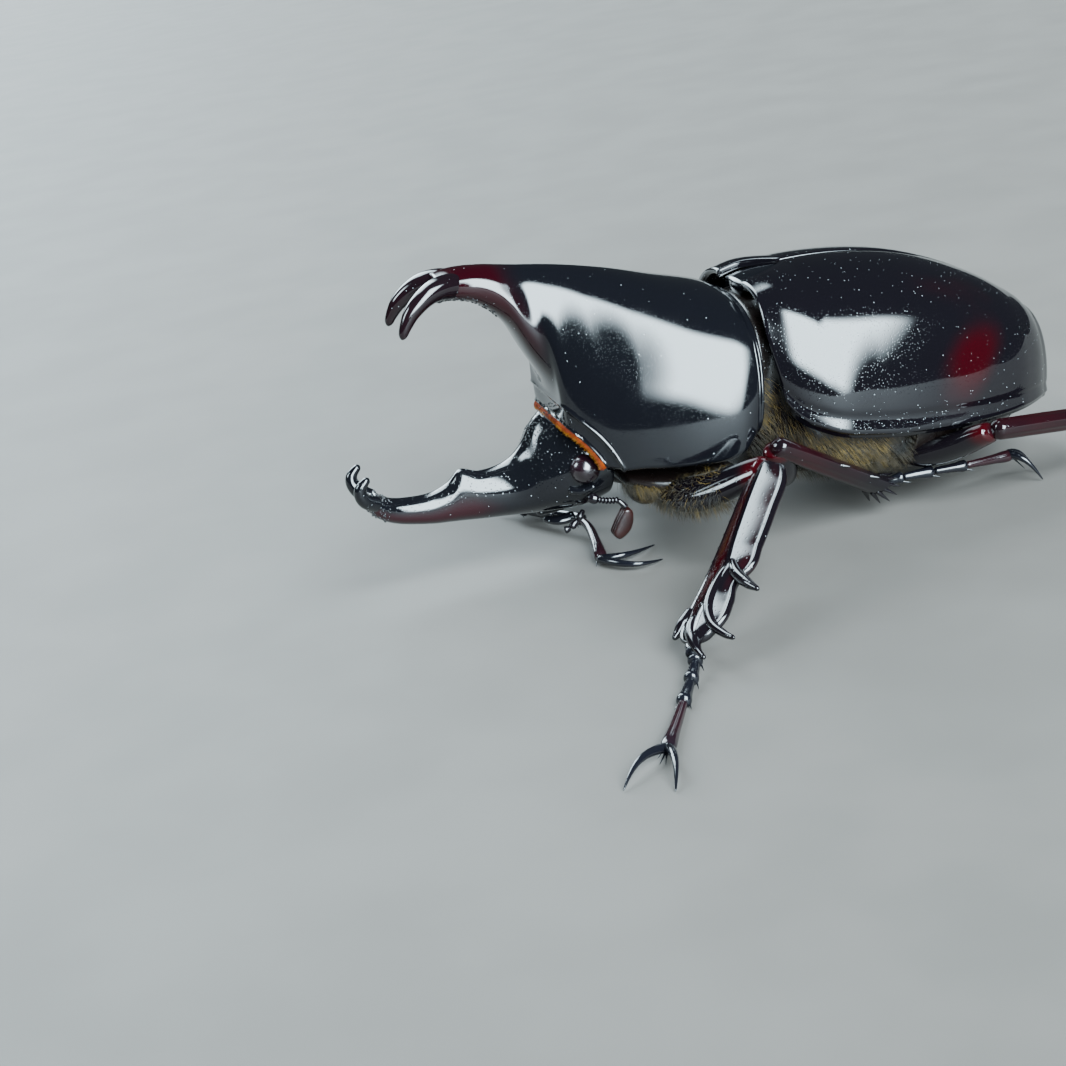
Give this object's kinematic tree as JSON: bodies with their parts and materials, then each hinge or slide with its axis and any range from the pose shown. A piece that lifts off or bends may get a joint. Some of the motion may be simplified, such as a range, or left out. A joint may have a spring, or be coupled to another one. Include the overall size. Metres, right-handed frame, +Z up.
{
  "type": "rhinoceros beetle",
  "caption": "Still life-size model of a male horned beetle standing on its feet, with a forked horn on the head and one on the thorax.",
  "frame": {"origin": "on the floor, under the middle of the bounding box", "axes": "+Z up from the floor, head and horns towards -X, the beetle's left side towards -Y"},
  "size_m": [0.089, 0.0884, 0.0297],
  "materials": {
    "shell": "polished black with a deep maroon cast",
    "underside": "satin dark brown",
    "leg": "glossy dark red brown",
    "eye": "glossy",
    "membrane": "matt orange",
    "club": "satin red brown"
  },
  "bodies": {
    "root": {"elytron_left": "shell", "elytron_right": "shell", "head": "shell", "head_horn": "shell", "mandible_left": "shell", "mandible_right": "shell", "pronotum": "shell", "pygidium": "shell", "scutellum": "shell", "thoracic_horn": "shell", "abdomen": "underside", "hind_thorax": "underside", "prosternum": "underside", "eye_left": "eye", "eye_right": "eye", "neck_collar": "membrane", "club_left": "club", "club_right": "club", "antenna_left": "leg", "antenna_right": "leg", "coxa_front_left": "leg", "coxa_front_right": "leg", "coxa_hind_left": "leg", "coxa_hind_right": "leg", "coxa_middle_left": "leg", "coxa_middle_right": "leg", "femur_front_left": "leg", "femur_front_right": "leg", "femur_hind_left": "leg", "femur_hind_right": "leg", "femur_middle_left": "leg", "femur_middle_right": "leg", "palp_left": "leg", "palp_right": "leg", "tarsus_front_left": "leg", "tarsus_front_right": "leg", "tarsus_hind_left": "leg", "tarsus_hind_right": "leg", "tarsus_middle_left": "leg", "tarsus_middle_right": "leg", "tibia_front_left": "leg", "tibia_front_right": "leg", "tibia_hind_left": "leg", "tibia_hind_right": "leg", "tibia_middle_left": "leg", "tibia_middle_right": "leg"}
  },
  "joints": []
}
